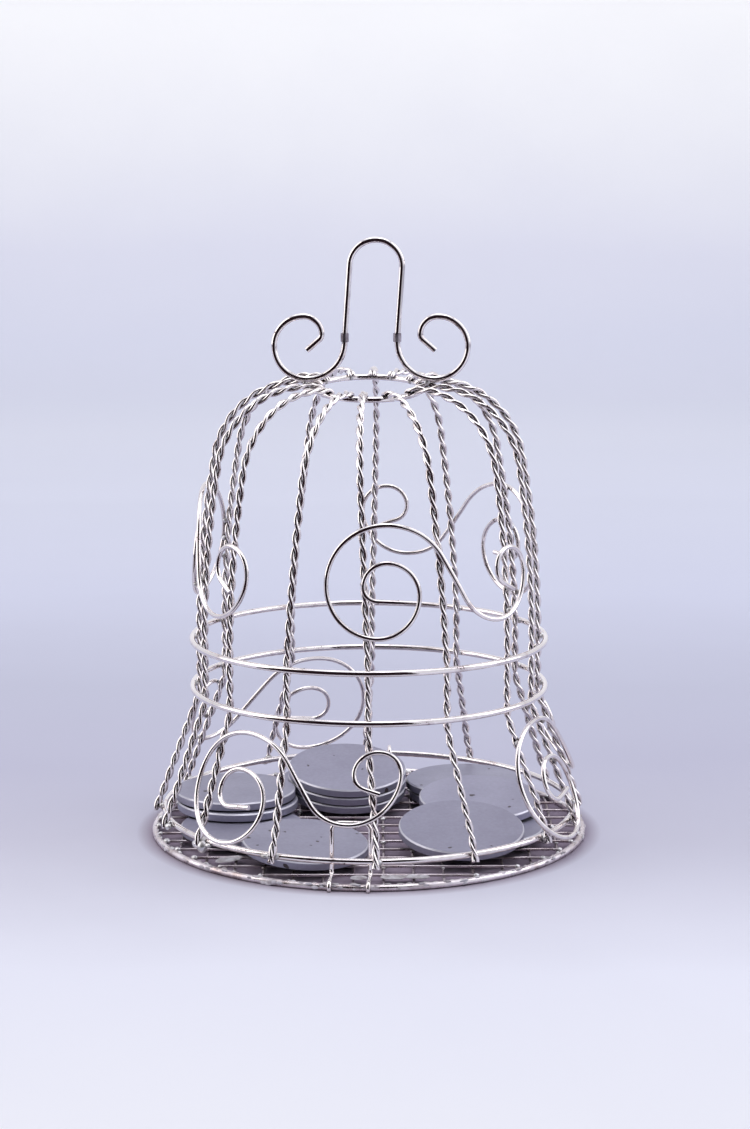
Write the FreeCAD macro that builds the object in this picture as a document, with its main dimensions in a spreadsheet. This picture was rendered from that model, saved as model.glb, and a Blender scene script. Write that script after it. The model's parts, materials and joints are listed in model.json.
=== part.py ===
import FreeCAD, Part, Sketcher
import math
import os

from FreeCAD import Placement, Rotation, Vector

# Bell-shaped wire cage with a hinged mesh base, a hanging loop and plain coins inside.
# The origin is on the floor at the middle of the base ring; the front faces -Y and +Z is up.
# Azimuths run from the front towards +X.

# Driving dimensions in millimetres, degrees and counts: alias, value, what it is
DIMENSIONS = [
    ("seat_gap", 0.05, "gap left between wires that are soldered against each other"),
    ("base_radius", 39.45, "centreline radius of the base ring"),
    ("base_wire", 1.2, "wire of the base ring"),
    ("foot_flat", 0.05, "depth of the flat under the base ring"),
    ("mesh_wire", 0.5, "wire of the floor mesh"),
    ("mesh_pitch", 5.2, "spacing of the floor mesh"),
    ("ring_wire", 1.1, "wire of the rim, the two bands and the top ring"),
    ("rim_height", 4.65, "height of the rim ring"),
    ("rim_inset", 1.76, "distance of the rim ring inside the base ring"),
    ("waist_radius", 31.0, "radius of the ribs between the two bands"),
    ("waist_height", 26.0, "height where the flare would meet the upright wall"),
    ("waist_bend", 8.0, "bend radius of the ribs at the waist"),
    ("band_spacing", 8.8, "height between the two bands"),
    ("dome_radius", 190.0, "side radius of the dome above the upper band"),
    ("shoulder_radius", 16.2, "radius of the shoulder"),
    ("crown_height", 82.8, "mean height of the ribs where they cross the top ring"),
    ("crown_tilt", 6.5, "tilt of the top ring, which is highest at the back"),
    ("top_ring_radius", 9.6, "centreline radius of the top ring"),
    ("foot_drop", 1.4, "length of rib below its seat on the rim"),
    ("foot_swing", 2.4, "turn of the rib feet round the axis, against the waist"),
    ("hook_angle", 70.0, "wrap of the rib ends over the top ring"),
    ("strand_wire", 0.7, "wire of one strand of a twisted rib"),
    ("strand_gap", 0.05, "gap between the two strands of a rib"),
    ("half_twist", 3.1, "rib length of half a turn of twist"),
    ("scroll_wire", 0.85, "wire of the six scrolls"),
    ("scroll_tail", 4.5, "straight tail inside the large coil"),
    ("coil_radius", 2.5, "radius of the first quarter turn of the large coil"),
    ("coil_step", 1.6, "growth of the radius with each quarter turn"),
    ("coil_quarters", 6, "quarter turns of the large coil"),
    ("sweep_angle", 56.0, "turn of each half of the S between the coil and the curl"),
    ("sweep_out_radius", 11.5, "radius where the S leaves the large coil"),
    ("sweep_run", 8.6, "straight middle of the S"),
    ("sweep_in_radius", 9.4, "radius where the S meets the curl"),
    ("curl_radius", 7.4, "radius of the curl's first quarter turn"),
    ("curl_shrink", 0.66, "ratio of each next radius of the curl"),
    ("curl_end_angle", 157.0, "turn of the curl's last arc"),
    ("curl_tail", 3.0, "straight tail inside the curl"),
    ("hanger_wire", 1.1, "wire of the hanger"),
    ("hanger_width", 9.35, "width of the hanging loop between centrelines"),
    ("hanger_top", 108.5, "height of the hanging loop's centreline"),
    ("hanger_lean", 3.9, "lean of the hanging loop to the right"),
    ("hanger_shift", 0.4, "distance of the hanger to the right of the axis"),
    ("hanger_sweep_radius", 6.7, "radius of a hanger scroll's foot, beside the leg"),
    ("hanger_side_radius", 5.9, "radius of a hanger scroll's foot, on its outer side"),
    ("hanger_head_radius", 5.3, "radius of a hanger scroll's head"),
    ("hanger_curl_radius", 3.2, "radius where a hanger scroll turns in"),
    ("hanger_tip_radius", 1.2, "radius of the last bend of a hanger scroll"),
    ("hanger_tip_angle", 49.0, "turn of the last bend of a hanger scroll"),
    ("hanger_tail", 3.0, "straight end of a hanger scroll"),
    ("collar_length", 1.5, "length of the solder collar round a hanger joint"),
    ("collar_wall", 0.08, "thickness of the solder collar"),
    ("eye_wire", 0.8, "wire of the hinge eyes"),
    ("eye_spacing", 8.0, "distance between the two hinge eyes"),
    ("eye_clearance", 0.3, "play of the rim wire in a hinge eye"),
    ("eye_wrap", 300.0, "turn of a hinge eye round the rim wire"),
    ("clip_wire", 0.8, "wire of the latch clip"),
    ("clip_width", 6.7, "width of the latch clip between centrelines"),
    ("clip_azimuth", -4.8, "azimuth of the latch clip"),
    ("clip_height", 10.8, "height of the latch clip's cross bar"),
    ("clip_corner", 1.4, "bend radius of the latch clip's corners"),
    ("clip_lean", 2.0, "inward lean of the latch clip"),
    ("clip_heel", 1.2, "bend radius where the clip turns up from the base ring"),
    ("clip_clearance", 0.9, "room between the clip and the inside of the rim"),
    ("clip_hook_angle", 115.0, "wrap of the clip's feet over the base ring"),
    ("coin_diameter", 22.4, "diameter of a coin"),
    ("coin_thickness", 1.65, "thickness of a coin"),
    ("coin_bevel", 0.25, "bevel of a coin's edges"),
    ("coin_spacing", 0.8, "room between coins that lie side by side"),
    ("coin_margin", 0.4, "room between the coins and the rings round them"),
    ("middle_coin_azimuth", 119.5, "direction from the left middle coin to the coins beside it"),
]

# Each rib by hand: name, azimuth at the waist and at the top ring
RIBS = [
    ("rib_01", 0.0, -5.0),
    ("rib_02", 26.0, 19.0),
    ("rib_03", 52.0, 52.0),
    ("rib_04", 70.5, 72.0),
    ("rib_05", 91.0, 100.0),
    ("rib_06", 117.0, 125.0),
    ("rib_07", 147.0, 153.0),
    ("rib_08", 179.0, 176.0),
    ("rib_09", -151.0, -159.0),
    ("rib_10", -118.5, -121.0),
    ("rib_11", -90.0, -97.0),
    ("rib_12", -71.5, -72.0),
    ("rib_13", -52.0, -50.0),
    ("rib_14", -27.0, -21.0),
]

# Each scroll by hand: name, azimuth and height of its coil's tail, turn in the wall, share of the scroll's size
SCROLLS = [
    ("upper_scroll_front", 10.8, 48.4, -3.3, 1.0),
    ("upper_scroll_right", 131.4, 48.3, 4.6, 1.06),
    ("upper_scroll_left", -94.2, 49.5, -6.8, 1.07),
    ("lower_scroll_front", -33.5, 12.4, 5.7, 1.0),
    ("lower_scroll_right", 70.0, 11.0, 7.7, 1.1),
    ("lower_scroll_back", -154.7, 12.8, 7.5, 1.08),
]

# Where the coins lie on plan: name, distance to the right, distance to the back
COIN_PLACES = [
    ("left_low", -23.0, -8.0),
    ("left_middle", -24.5, 3.0),
    ("left_top", -25.0, 4.2),
    ("right_low", 20.5, -9.5),
    ("right_middle", 20.5, 0.9),
    ("back_low", 18.9, 17.2),
    ("back_high", 18.3, 17.8),
    ("back_left", -6.0, 24.8),
    ("left_leaning", -11.3, -22.2),
    ("right_leaning", 16.5, -17.4),
]

# Sizes that follow from the driving ones
DERIVED = [
    ("base_centre", "base_wire / 2 - foot_flat", "height of the base ring's centreline"),
    ("mesh_reach", "base_radius - base_wire / 2 - seat_gap", "radius where the mesh wires end"),
    ("mesh_low", "base_centre", "height of the lengthwise mesh wires"),
    ("mesh_high", "mesh_low + mesh_wire + seat_gap", "height of the crosswise mesh wires"),
    ("pair_reach", "strand_wire + strand_gap / 2", "outer radius of a twisted rib"),
    ("ring_seat", "pair_reach + seat_gap + ring_wire / 2", "distance from a rib to a ring on it"),
    ("scroll_seat", "pair_reach + seat_gap + scroll_wire / 2", "distance from a rib to a scroll on it"),
    (
        "hook_radius",
        "strand_wire / 2 + seat_gap + ring_wire / 2 + (strand_wire + strand_gap) / 2 * tan(crown_tilt)",
        "bend of the rib ends over the tilted top ring",
    ),
    ("rim_radius", "base_radius - rim_inset", "centreline radius of the rim ring, inside the ribs"),
    ("flare_spread", "rim_radius - waist_radius", "growth of the radius from the waist to the rim"),
    ("flare_drop", "waist_height - rim_height", "height of the flare"),
    (
        "flare_run",
        "sqrt(flare_spread ^ 2 + flare_drop ^ 2 - ring_seat ^ 2)",
        "length of flare from the waist corner to the seat on the rim",
    ),
    (
        "flare_angle",
        "atan(flare_spread / flare_drop) + atan(ring_seat / flare_run)",
        "lean of the flare from upright",
    ),
    ("waist_tangent", "waist_bend * tan(flare_angle / 2)", "length of the waist bend along each side"),
    ("lower_band_height", "waist_height + waist_tangent", "height where the wall turns upright"),
    ("upper_band_height", "lower_band_height + band_spacing", "height where the dome begins"),
    ("band_radius", "waist_radius + ring_seat", "centreline radius of the bands, outside the ribs"),
    ("top_ring_height", "crown_height - hook_radius", "mean height of the top ring, under the rib ends"),
    (
        "hanger_rib_height",
        "crown_height - top_ring_radius * cos(rib_04_crown) * tan(crown_tilt)",
        "height of the side ribs under the hanger",
    ),
    (
        "hanger_seat",
        "hanger_rib_height + pair_reach + seat_gap + hanger_wire / 2",
        "height of the hanger scrolls where they lie on the ribs",
    ),
    (
        "hanger_back",
        "-(hanger_width / 2 + hanger_sweep_radius) / tan(rib_04_crown)",
        "distance of the hanger behind the axis, where it meets the ends of the side ribs",
    ),
    ("collar_foot", "hanger_seat + hanger_sweep_radius", "height where a hanger leg becomes straight"),
    ("hanger_joint", "collar_foot + collar_length / 2", "height where the loop meets the scrolls"),
    ("coin_floor", "mesh_high + mesh_wire / 2 + seat_gap", "height on which the lowest coins lie"),
    ("coin_layer", "coin_thickness + seat_gap", "height from one coin to the next on top"),
    ("coin_pitch", "coin_diameter + coin_spacing", "distance between coins side by side"),
    (
        "coin_limit",
        "rim_radius - (ring_wire + coin_diameter) / 2 - coin_margin",
        "largest distance of a coin from the axis",
    ),
]

QUARTER = 90.0
MAX_TURN = math.radians(45.0)
MAX_RUN = 4.0
NUDGE = 1e-4
STRAIGHT = 1e-7
VOLUME_SHARE = 0.01
HALVINGS = 60

# Pieces of a rib's track, from its foot to its end
FLARE, WAIST, UPRIGHT, DOME, SHOULDER, CROWN, HOOK = range(7)

# Points and axes of a sketch
START, END, CENTRE = 1, 2, 3
ACROSS_AXIS, UP_AXIS = -1, -2
ROOT = (ACROSS_AXIS, START)

doc = FreeCAD.newDocument("wire_bell_cage")
sheet = doc.addObject("Spreadsheet::Sheet", "Dimensions")
rows = [(alias, str(value), note) for alias, value, note in DIMENSIONS]
for name, waist, crown in RIBS:
    rows.append((f"{name}_waist", str(waist), f"azimuth of {name} at the waist"))
    rows.append((f"{name}_crown", str(crown), f"azimuth of {name} at the top ring"))
for name, azimuth, height, tilt, growth in SCROLLS:
    rows.append((f"{name}_azimuth", str(azimuth), f"azimuth of the coil's tail of {name}"))
    rows.append((f"{name}_height", str(height), f"height of the coil's tail of {name}"))
    rows.append((f"{name}_tilt", str(tilt), f"turn of {name} in the wall"))
    rows.append((f"{name}_growth", str(growth), f"share of the scroll's size for {name}"))
for name, across, back in COIN_PLACES:
    rows.append((f"{name}_across", str(across), f"distance of the {name} coin to the right"))
    rows.append((f"{name}_back", str(back), f"distance of the {name} coin to the back"))
rows += [(alias, "=" + formula, note) for alias, formula, note in DERIVED]
for row, (alias, text, note) in enumerate(rows, start=1):
    sheet.set(f"A{row}", note)
    sheet.set(f"B{row}", text)
    sheet.setAlias(f"B{row}", alias)
doc.recompute()
nodes = []


def size(alias):
    return float(sheet.get(alias))


def bind(obj, prop, formula):
    obj.setExpression(prop, formula)


def add(kind, name):
    return doc.addObject(kind, name)


def node(obj, label):
    obj.Label = label
    nodes.append(obj)
    return obj


def feature(label, shape, placement=None):
    obj = node(add("Part::Feature", label), label)
    obj.Shape = shape
    if placement is not None:
        obj.Placement = placement
    return obj


def turned(azimuth):
    return Placement(Vector(), Rotation(Vector(0, 0, 1), azimuth))


# Flat tracks of straight runs and tangent arcs


def run(length):
    return (length, 0.0)


def bend(radius, degrees):
    return (radius * math.radians(abs(degrees)), math.copysign(1.0 / radius, degrees))


class Track:
    """A flat line of straight runs and tangent arcs, read by its length."""

    def __init__(self, start, heading, pieces):
        self.pieces = []
        x, y = start
        angle = math.radians(heading)
        begin = 0.0
        for length, curve in pieces:
            self.pieces.append((begin, length, curve, x, y, angle))
            x, y, angle = self.step(x, y, angle, curve, length)
            begin += length
        self.length = begin

    @staticmethod
    def step(x, y, angle, curve, length):
        if abs(curve) < STRAIGHT:
            return x + length * math.cos(angle), y + length * math.sin(angle), angle
        after = angle + curve * length
        x += (math.sin(after) - math.sin(angle)) / curve
        y -= (math.cos(after) - math.cos(angle)) / curve
        return x, y, after

    def at(self, place):
        inside = [piece for piece in self.pieces if piece[0] <= place]
        begin, _, curve, x, y, angle = inside[-1] if inside else self.pieces[0]
        return self.step(x, y, angle, curve, place - begin)

    def begin(self, number):
        return self.pieces[number][0]

    def stations(self):
        places = [0.0]
        for begin, length, curve, *_ in self.pieces:
            parts = max(abs(curve) * length / MAX_TURN, length / MAX_RUN)
            count = max(1, math.ceil(parts - STRAIGHT))
            places += [begin + length * k / count for k in range(1, count + 1)]
        return places


# Round wire along a line in space


def arc_edge(start, heading, end):
    chord = end - start
    normal = heading.cross(chord)
    if normal.Length < STRAIGHT * chord.Length:
        return Part.LineSegment(start, end).toShape()
    side = normal.normalize().cross(heading)
    radius = chord.Length ** 2 / (2 * chord.dot(side))
    centre = start + side * radius
    middle = ((start + end) * 0.5 - centre).normalize()
    if heading.dot(chord) < 0:
        middle = middle * -1
    return Part.Arc(start, centre + middle * abs(radius), end).toShape()


def biarc_edges(start, start_heading, end, end_heading):
    chord = end - start
    square = 2 * (start_heading.dot(end_heading) - 1)
    linear = -2 * chord.dot(start_heading + end_heading)
    constant = chord.dot(chord)
    if abs(square) < STRAIGHT:
        reach = -constant / linear
    else:
        root = math.sqrt(linear ** 2 - 4 * square * constant)
        reach = min(r for r in ((-linear + root) / (2 * square), (-linear - root) / (2 * square)) if r > 0)
    join = (start + end + (start_heading - end_heading) * reach) * 0.5
    first = arc_edge(start, start_heading, join)
    second = arc_edge(join, first.tangentAt(first.LastParameter), end)
    return [first, second]


def wire_solid(point_at, places, diameter):
    points = [point_at(place) for place in places]
    headings = [(point_at(place + NUDGE) - point_at(place - NUDGE)).normalize() for place in places]
    edges = []
    for k in range(len(places) - 1):
        edges += biarc_edges(points[k], headings[k], points[k + 1], headings[k + 1])
    section = Part.Circle(points[0], headings[0], diameter / 2).toShape()
    solid = Part.Wire(edges).makePipeShell([Part.Wire([section])], True, False)
    length = sum(edge.Length for edge in edges)
    expected = math.pi * diameter ** 2 / 4 * length
    if abs(solid.Volume - expected) > expected * VOLUME_SHARE:
        raise RuntimeError(f"wire volume {solid.Volume:.3f} differs from {expected:.3f}")
    return solid


# Base ring, flattened a little where it stands


def build_base_ring():
    hoop = add("Part::Torus", "base_hoop")
    bind(hoop, "Radius1", "Dimensions.base_radius")
    bind(hoop, "Radius2", "Dimensions.base_wire / 2")
    bind(hoop, "Placement.Base.z", "Dimensions.base_centre")
    below = add("Part::Cylinder", "base_flat")
    bind(below, "Radius", "Dimensions.base_radius + Dimensions.base_wire")
    bind(below, "Height", "Dimensions.base_wire")
    bind(below, "Placement.Base.z", "-Dimensions.base_wire")
    ring = add("Part::Cut", "base_ring")
    ring.Base = hoop
    ring.Tool = below
    node(ring, "base_ring")


# Floor mesh: two layers of straight wires inside the base ring, half a pitch off its middle


def build_mesh(label, across, along, turn, height):
    wires = []
    count = int(size("mesh_reach") / size("mesh_pitch") - 0.5)
    for k in range(-count, count + 2):
        place = f"({k} - 0.5) * Dimensions.mesh_pitch"
        edge = f"(abs({place}) + Dimensions.mesh_wire / 2)"
        half = f"sqrt(Dimensions.mesh_reach ^ 2 - {edge} ^ 2)"
        wire = add("Part::Cylinder", f"{label}_wire")
        wire.Placement = Placement(Vector(), turn)
        bind(wire, "Radius", "Dimensions.mesh_wire / 2")
        bind(wire, "Height", f"2 * {half}")
        bind(wire, f"Placement.Base.{across}", place)
        bind(wire, f"Placement.Base.{along}", f"-{half}")
        bind(wire, "Placement.Base.z", f"Dimensions.{height}")
        wires.append(wire)
    layer = add("Part::Compound", label)
    layer.Links = wires
    node(layer, label)


# Rings of the bell


def build_ring(label, radius, height):
    ring = node(add("Part::Torus", label), label)
    bind(ring, "Radius1", f"Dimensions.{radius}")
    bind(ring, "Radius2", "Dimensions.ring_wire / 2")
    bind(ring, "Placement.Base.z", f"Dimensions.{height}")
    return ring


def build_top_ring():
    ring = build_ring("top_ring", "top_ring_radius", "top_ring_height")
    ring.Placement.Rotation = Rotation(Vector(1, 0, 0), size("crown_tilt"))


# Twisted ribs, each a right-handed pair of strands from the rim over the tilted top ring


def top_ring_reach(azimuth):
    angle, shorter = math.radians(azimuth), math.cos(math.radians(size("crown_tilt")))
    return size("top_ring_radius") * shorter / math.hypot(shorter * math.sin(angle), math.cos(angle))


def rib_track(crown_azimuth):
    reach = top_ring_reach(crown_azimuth)
    front = reach * math.cos(math.radians(crown_azimuth))
    crown = size("crown_height") - front * math.tan(math.radians(size("crown_tilt")))
    flare = size("flare_angle")
    lean = math.radians(flare)
    corner = size("flare_run") + size("foot_drop")
    foot = (
        size("waist_radius") + corner * math.sin(lean),
        size("waist_height") - corner * math.cos(lean),
    )
    dome, shoulder = size("dome_radius"), size("shoulder_radius")
    rise = crown - shoulder - size("upper_band_height")
    dome_angle = math.degrees(math.asin(rise / (dome - shoulder)))
    shoulder_centre = size("waist_radius") - dome + (dome - shoulder) * math.cos(math.radians(dome_angle))
    return Track(
        foot,
        QUARTER + flare,
        [
            run(corner - size("waist_tangent")),
            bend(size("waist_bend"), -flare),
            run(size("band_spacing")),
            bend(dome, dome_angle),
            bend(shoulder, QUARTER - dome_angle),
            run(shoulder_centre - reach),
            bend(size("hook_radius"), size("hook_angle")),
        ],
    )


# Half turns of twist: whole numbers at the rim and the bands put one strand against the ring,
# and the half one at the end lays the strands side by side over the top ring


def twist_plan(track):
    lower_band, upper_band, hook = (track.begin(piece) for piece in (UPRIGHT, DOME, HOOK))
    half = size("half_twist")
    plan = [(size("foot_drop"), 0.0)]
    for place, share in ((lower_band, 0.0), (upper_band, 0.0), (hook, 0.5)):
        halves = max(1, round((place - plan[-1][0]) / half - share)) + share
        plan.append((place, plan[-1][1] + halves))
    return plan


def twist_at(plan, place):
    if place >= plan[-1][0]:
        return plan[-1][1] * math.pi
    spans = list(zip(plan, plan[1:]))
    (begin, first), (end, last) = [span for span in spans if span[0][0] <= place or span is spans[0]][-1]
    return (first + (last - first) * (place - begin) / (end - begin)) * math.pi


def rib_places(track, plan):
    spans = list(zip(plan, plan[1:]))
    places = [0.0]
    for (begin, first), (end, last) in spans:
        count = round((last - first) * 2)
        places += [begin + (end - begin) * k / count for k in range(count)]
    hook = plan[-1][0]
    places += [hook, (hook + track.length) / 2, track.length]
    return places


def build_rib(label):
    at_waist, at_crown = size(f"{label}_waist"), size(f"{label}_crown")
    track = rib_track(at_crown)
    plan = twist_plan(track)
    places = rib_places(track, plan)
    waist, dome, hook = (track.begin(piece) for piece in (WAIST, DOME, HOOK))
    offset = (size("strand_wire") + size("strand_gap")) / 2

    def azimuth_at(place):
        foot_share = max(0.0, 1 - place / waist)
        crown_share = min(1.0, max(0.0, (place - dome) / (hook - dome)))
        return at_waist + size("foot_swing") * foot_share + (at_crown - at_waist) * crown_share

    def strand(side):
        def point_at(place):
            radius, height, heading = track.at(place)
            azimuth = math.radians(azimuth_at(place))
            outward = Vector(math.sin(azimuth), -math.cos(azimuth), 0)
            sideways = Vector(math.cos(azimuth), math.sin(azimuth), 0)
            normal = outward * math.sin(heading) - Vector(0, 0, math.cos(heading))
            twist = twist_at(plan, place)
            centre = outward * radius + Vector(0, 0, height)
            return centre + (normal * math.cos(twist) + sideways * math.sin(twist)) * (offset * side)

        return wire_solid(point_at, places, size("strand_wire"))

    feature(label, Part.makeCompound([strand(1), strand(-1)]))


# S-shaped scrolls bent round the outside of the ribs


def scroll_track(tilt, growth):
    coil = [
        bend(size("coil_radius") + size("coil_step") * k, -QUARTER)
        for k in range(round(size("coil_quarters")))
    ]
    curl, shrink = size("curl_radius"), size("curl_shrink")
    sweep = size("sweep_angle")
    pieces = [run(size("scroll_tail"))] + coil
    pieces += [
        bend(size("sweep_out_radius"), -sweep),
        run(size("sweep_run")),
        bend(size("sweep_in_radius"), sweep),
        bend(curl, QUARTER),
        bend(curl * shrink, QUARTER),
        bend(curl * shrink ** 2, size("curl_end_angle")),
        run(size("curl_tail")),
    ]
    grown = [(length * growth, curve / growth) for length, curve in pieces]
    return Track((0.0, 0.0), 2 * QUARTER + tilt, grown)


def wall_point(track, place):
    radius, height, heading = track.at(place)
    seat = size("scroll_seat")
    return radius + seat * math.sin(heading), height - seat * math.cos(heading)


def place_at_height(track, height):
    low, high = 0.0, track.begin(SHOULDER)
    for _ in range(HALVINGS):
        middle = (low + high) / 2
        if wall_point(track, middle)[1] < height:
            low = middle
        else:
            high = middle
    return low


def build_scroll(label, wall):
    scroll = scroll_track(size(f"{label}_tilt"), size(f"{label}_growth"))
    start = place_at_height(wall, size(f"{label}_height"))

    def point_at(place):
        across, up, _ = scroll.at(place)
        radius, height = wall_point(wall, start + up)
        angle = across / radius
        return Vector(radius * math.sin(angle), -radius * math.cos(angle), height)

    solid = wire_solid(point_at, scroll.stations(), size("scroll_wire"))
    feature(label, solid, turned(size(f"{label}_azimuth")))


# Hanger: a loop, two scrolls lying on the side ribs and the solder collars between them


def sketch_on(body, role, name):
    sketch = body.newObject("Sketcher::SketchObject", name)
    plane = [item for item in body.Origin.OriginFeatures if item.Role == role][0]
    sketch.AttachmentSupport = [(plane, "")]
    sketch.MapMode = "FlatFace"
    return sketch


def drive(sketch, name, kind, ends, formula):
    value = float(sketch.evalExpression(formula))
    index = sketch.addConstraint(Sketcher.Constraint(kind, *ends, value))
    sketch.renameConstraint(index, name)
    sketch.setExpression(f"Constraints.{name}", formula)


def build_hanger_loop():
    body = node(add("PartDesign::Body", "hanger_loop"), "hanger_loop")
    bind(body, "Placement.Base.x", "Dimensions.hanger_shift")
    bind(body, "Placement.Base.y", "Dimensions.hanger_back")
    half = size("hanger_width") / 2
    lean = math.radians(size("hanger_lean"))
    radius = half * math.cos(lean)
    foot, rise = size("hanger_joint"), size("hanger_top") - radius
    centre = Vector((rise - foot) * math.tan(lean), rise, 0)
    side = Vector(radius * math.cos(lean), -radius * math.sin(lean), 0)
    path = sketch_on(body, "XZ_Plane", "hanger_loop_path")
    left = path.addGeometry(Part.LineSegment(Vector(-half, foot, 0), centre - side))
    circle = Part.Circle(centre, Vector(0, 0, 1), radius)
    bow = path.addGeometry(Part.ArcOfCircle(circle, -lean, math.pi - lean))
    right = path.addGeometry(Part.LineSegment(centre + side, Vector(half, foot, 0)))
    path.addConstraint(Sketcher.Constraint("Tangent", left, END, bow, END))
    path.addConstraint(Sketcher.Constraint("Tangent", bow, START, right, START))
    path.addConstraint(Sketcher.Constraint("Parallel", left, right))
    path.addConstraint(Sketcher.Constraint("Horizontal", left, START, right, END))
    bow_radius = "Dimensions.hanger_width / 2 * cos(Dimensions.hanger_lean)"
    bow_rise = f"(Dimensions.hanger_top - {bow_radius})"
    bow_shift = f"({bow_rise} - Dimensions.hanger_joint) * tan(Dimensions.hanger_lean)"
    drive(path, "bow", "Radius", (bow,), bow_radius)
    drive(path, "leg", "DistanceX", (left, START, *ROOT), "Dimensions.hanger_width / 2")
    drive(path, "foot", "DistanceY", (*ROOT, left, START), "Dimensions.hanger_joint")
    drive(path, "shift", "DistanceX", (*ROOT, bow, CENTRE), bow_shift)
    drive(path, "rise", "DistanceY", (*ROOT, bow, CENTRE), bow_rise)
    section = sketch_on(body, "XY_Plane", "hanger_loop_section")
    bind(section, "AttachmentOffset.Base.z", "Dimensions.hanger_joint")
    ring = section.addGeometry(Part.Circle(Vector(-half, 0, 0), Vector(0, 0, 1), size("hanger_wire") / 2))
    section.addConstraint(Sketcher.Constraint("PointOnObject", ring, CENTRE, ACROSS_AXIS))
    drive(section, "wire", "Radius", (ring,), "Dimensions.hanger_wire / 2")
    drive(section, "leg", "DistanceX", (ring, CENTRE, *ROOT), "Dimensions.hanger_width / 2")
    pipe = body.newObject("PartDesign::AdditivePipe", "hanger_loop_pipe")
    pipe.Profile = section
    pipe.Spine = (path, ["Edge1", "Edge2", "Edge3"])


def build_hanger_scrolls():
    for label, side in (("hanger_scroll_left", -1), ("hanger_scroll_right", 1)):
        track = Track(
            (size("hanger_width") / 2, size("hanger_joint")),
            -QUARTER,
            [
                run(size("hanger_joint") - size("collar_foot")),
                bend(size("hanger_sweep_radius"), QUARTER),
                bend(size("hanger_side_radius"), QUARTER),
                bend(size("hanger_head_radius"), QUARTER),
                bend(size("hanger_curl_radius"), QUARTER),
                bend(size("hanger_tip_radius"), size("hanger_tip_angle")),
                run(size("hanger_tail")),
            ],
        )

        def point_at(place):
            across, height, _ = track.at(place)
            return Vector(size("hanger_shift") + side * across, size("hanger_back"), height)

        feature(label, wire_solid(point_at, track.stations(), size("hanger_wire")))


def build_hanger_collars():
    collars = []
    room = "Dimensions.seat_gap + Dimensions.collar_length / 2 * tan(Dimensions.hanger_lean)"
    bore = f"Dimensions.hanger_wire / 2 + {room}"
    for side in ("-", "+"):
        parts = []
        for name, radius in (("outside", f"{bore} + Dimensions.collar_wall"), ("bore", bore)):
            part = add("Part::Cylinder", f"collar_{name}")
            bind(part, "Radius", radius)
            bind(part, "Height", "Dimensions.collar_length")
            bind(part, "Placement.Base.x", f"Dimensions.hanger_shift {side} Dimensions.hanger_width / 2")
            bind(part, "Placement.Base.y", "Dimensions.hanger_back")
            bind(part, "Placement.Base.z", "Dimensions.collar_foot")
            parts.append(part)
        collar = add("Part::Cut", "collar")
        collar.Base, collar.Tool = parts
        collars.append(collar)
    pair = add("Part::Compound", "hanger_solder_collars")
    pair.Links = collars
    node(pair, "hanger_solder_collars")


# Hinge eyes: wire loops on the base ring that hold the back of the rim


def build_hinge_eyes():
    half = size("eye_spacing") / 2
    axis_y = math.sqrt(size("rim_radius") ** 2 - half ** 2)
    loop = size("ring_wire") / 2 + size("eye_clearance") + size("eye_wire") / 2
    foot = size("base_centre") + size("base_wire") / 2 + size("seat_gap")
    track = Track(
        (axis_y + loop, foot),
        QUARTER,
        [run(size("rim_height") - foot), bend(loop, size("eye_wrap"))],
    )
    for label, side in (("hinge_eye_left", -1), ("hinge_eye_right", 1)):

        def point_at(place):
            depth, height, _ = track.at(place)
            return Vector(side * half, depth, height)

        feature(label, wire_solid(point_at, track.stations(), size("eye_wire")))


# Latch clip: an upside-down U behind the rim, its feet hooked over the base ring


def build_latch_clip():
    half = size("clip_width") / 2
    wire = size("clip_wire")
    hook = size("base_wire") / 2 + size("seat_gap") + wire / 2
    ring = math.sqrt(size("base_radius") ** 2 - half ** 2)
    rim = math.sqrt(size("rim_radius") ** 2 - half ** 2)
    wrap, heel, lean = size("clip_hook_angle"), size("clip_heel"), size("clip_lean")
    start_angle = math.radians(QUARTER - wrap)
    leg = rim - size("ring_wire") / 2 - size("clip_clearance") - wire / 2
    turn = QUARTER - lean
    inward = ring - leg - heel * math.sin(math.radians(turn))
    heel_top = size("base_centre") + hook + heel * (1 - math.cos(math.radians(turn)))
    rise = (size("clip_height") - heel_top) / math.cos(math.radians(lean))
    side = Track(
        (ring + hook * math.cos(start_angle), size("base_centre") + hook * math.sin(start_angle)),
        2 * QUARTER - wrap,
        [bend(hook, wrap), run(inward), bend(heel, -turn), run(rise)],
    )
    corner = size("clip_corner")
    flat = Track(
        (-half, 0.0),
        QUARTER,
        [
            run(side.length - corner),
            bend(corner, -QUARTER),
            run(size("clip_width") - 2 * corner),
            bend(corner, -QUARTER),
            run(side.length - corner),
        ],
    )

    def point_at(place):
        across, up, _ = flat.at(place)
        depth, height, _ = side.at(up)
        return Vector(across, -depth, height)

    rising = [place for place in side.stations() if place < side.length - corner]
    top = [place for place in flat.stations() if rising[-1] < place < flat.length - rising[-1]]
    places = rising + top + [flat.length - place for place in reversed(rising)]
    feature("latch_clip", wire_solid(point_at, places, wire), turned(size("clip_azimuth")))


# Coins: bevelled discs lying on the mesh and on each other


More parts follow.
